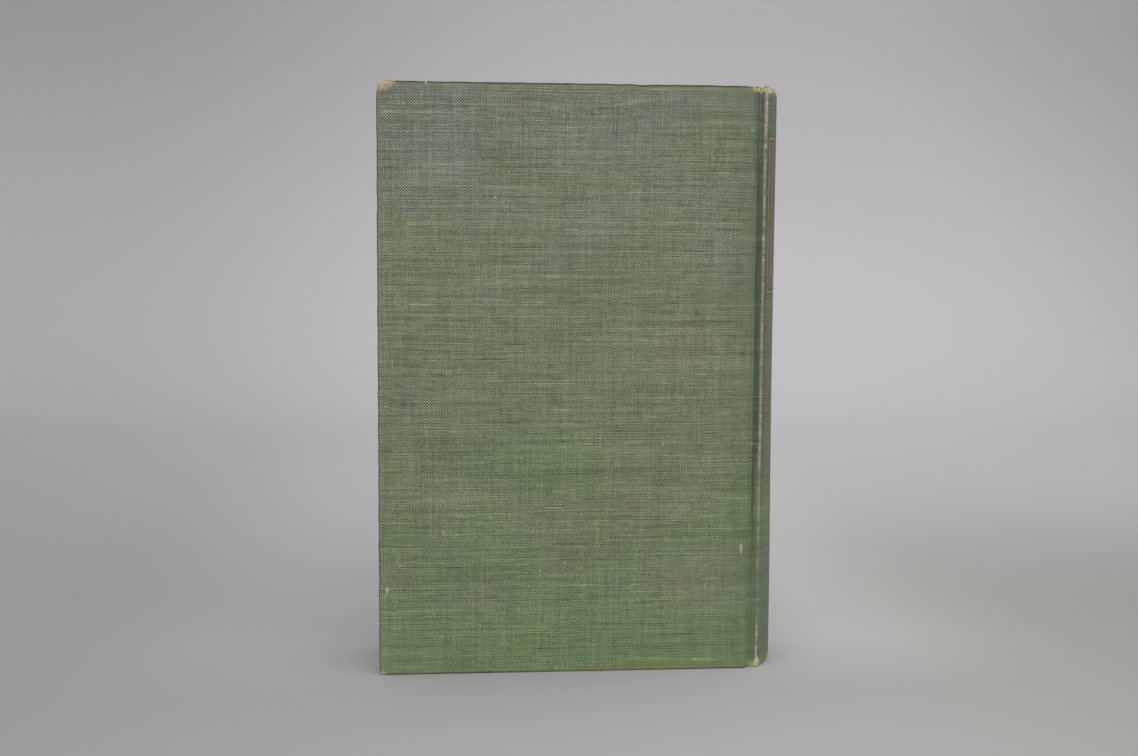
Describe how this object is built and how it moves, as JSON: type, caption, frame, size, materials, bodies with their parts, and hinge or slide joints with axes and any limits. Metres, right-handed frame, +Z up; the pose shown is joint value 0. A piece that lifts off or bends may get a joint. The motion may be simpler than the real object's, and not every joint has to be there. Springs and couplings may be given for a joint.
{
  "type": "hardback book",
  "caption": "Cloth-bound hardback book with a rounded spine, grooved joints, worn edges and covers that open.",
  "frame": {"origin": "centre of the footprint, on the plane that the book stands on", "axes": "+Z up along the height, +X towards the spine, +Y out of the front cover, so the rear cover faces -Y"},
  "size_m": [0.1308, 0.035, 0.1907],
  "materials": {
    "book_cloth": "worn green plain-weave book cloth, matt, rubbed pale along the edges and the spine's ridge",
    "board": "tan strawboard, shown only where the cloth is worn through",
    "pages": "aged cream paper, fine lines of the leaves on its edges",
    "endpaper": "plain cream endpaper, lightly foxed",
    "lining_paper": "brown lining paper",
    "spine_card": "thin buff card",
    "mull": "open-weave starched muslin"
  },
  "bodies": {
    "block": {"text_block": "pages", "rear_flyleaf": "endpaper", "front_flyleaf": "endpaper", "mull": "mull", "spine_lining": "lining_paper", "spine_inlay": "spine_card", "spine_cloth": "book_cloth"},
    "rear_cover": {"rear_board": "board", "rear_cloth": "book_cloth", "rear_pastedown": "endpaper"},
    "front_cover": {"front_board": "board", "front_cloth": "book_cloth", "front_pastedown": "endpaper"}
  },
  "joints": [
    {"name": "rear_joint", "type": "hinge", "parent": "block", "child": "rear_cover", "pos_m": [0.05791, -0.01615, 0], "axis": [0, 0, 1], "range_deg": [0, 180]},
    {"name": "front_joint", "type": "hinge", "parent": "block", "child": "front_cover", "pos_m": [0.05791, 0.01615, 0], "axis": [0, 0, -1], "range_deg": [0, 180]}
  ]
}
